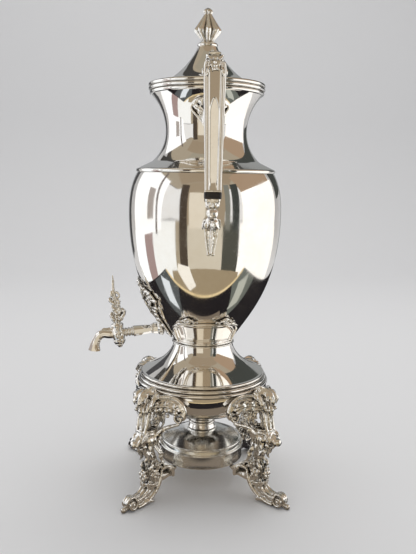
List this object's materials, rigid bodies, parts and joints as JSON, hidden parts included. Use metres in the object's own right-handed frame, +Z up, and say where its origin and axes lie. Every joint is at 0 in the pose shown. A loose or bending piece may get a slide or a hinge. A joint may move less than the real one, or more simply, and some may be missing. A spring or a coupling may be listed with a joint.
{
  "type": "coffee urn",
  "caption": "Silver-plated coffee urn: tall vase on a pedestal and a drum with cast scroll legs, lift-off lid with bud finial, strap handles, plug tap with a key, and a spirit lamp below.",
  "frame": {"origin": "on the floor, on the vertical axis of the vase, in the middle between the four feet", "axes": "+Z up along the vase's axis, -Y the way the tap points, +X and -X the way the handles stand out"},
  "size_m": [0.1888, 0.1895, 0.4514],
  "materials": {
    "silver": "mirror-polished silver plate, slightly warm, dark tarnish in the recesses of the cast ornament",
    "insulator": "polished black ebony or horn rings",
    "brass": "plain unplated brass, slightly dull",
    "wick": "braided cotton, charred at the top"
  },
  "bodies": {
    "urn": {"apron_left": "silver", "apron_right": "silver", "base_ring": "silver", "body_shell": "silver", "handle_bracket_left": "silver", "handle_bracket_right": "silver", "handle_pins": "brass", "handle_strap_left": "silver", "handle_strap_right": "silver", "handle_tail_left": "silver", "handle_tail_right": "silver", "insulator_lower_left": "insulator", "insulator_lower_right": "insulator", "insulator_upper_left": "insulator", "insulator_upper_right": "insulator", "leg_back_left": "silver", "leg_back_right": "silver", "leg_front_left": "silver", "leg_front_right": "silver", "leg_nuts": "brass", "neck_shell": "silver", "pedestal": "silver", "rim_ring": "silver", "shoulder_ring": "silver", "stand_drum": "silver", "tap_barrel": "silver", "tap_cock": "silver", "tap_nut": "silver", "tap_shield": "silver", "tap_spout": "silver", "tap_strainer": "brass", "waist_ring": "silver"},
    "lid": {"lid": "silver", "lid_bezel": "silver", "finial_collar": "silver", "finial": "silver", "finial_nut": "brass"},
    "key": {"tap_plug": "brass", "tap_key": "silver", "tap_washer": "silver", "tap_screw": "silver"},
    "lamp": {"lamp_font": "silver", "lamp_cover": "silver", "wick_tube": "brass", "wick": "wick"},
    "cap": {"snuffer_cap": "silver"}
  },
  "joints": [
    {"name": "lid_lift", "type": "slide", "parent": "urn", "child": "lid", "axis": [0, 0, 1], "range_m": [0, 0.08]},
    {"name": "key_turn", "type": "hinge", "parent": "urn", "child": "key", "pos_m": [0, -0.08262, 0.14757], "axis": [0, -0.1392, 0.9903], "range_deg": [0, 90]},
    {"name": "lamp_lift", "type": "slide", "parent": "urn", "child": "lamp", "axis": [0, 0, 1], "range_m": [0, 0.018]},
    {"name": "cap_lift", "type": "slide", "parent": "lamp", "child": "cap", "axis": [0, 0, 1], "range_m": [0, 0.03]}
  ]
}
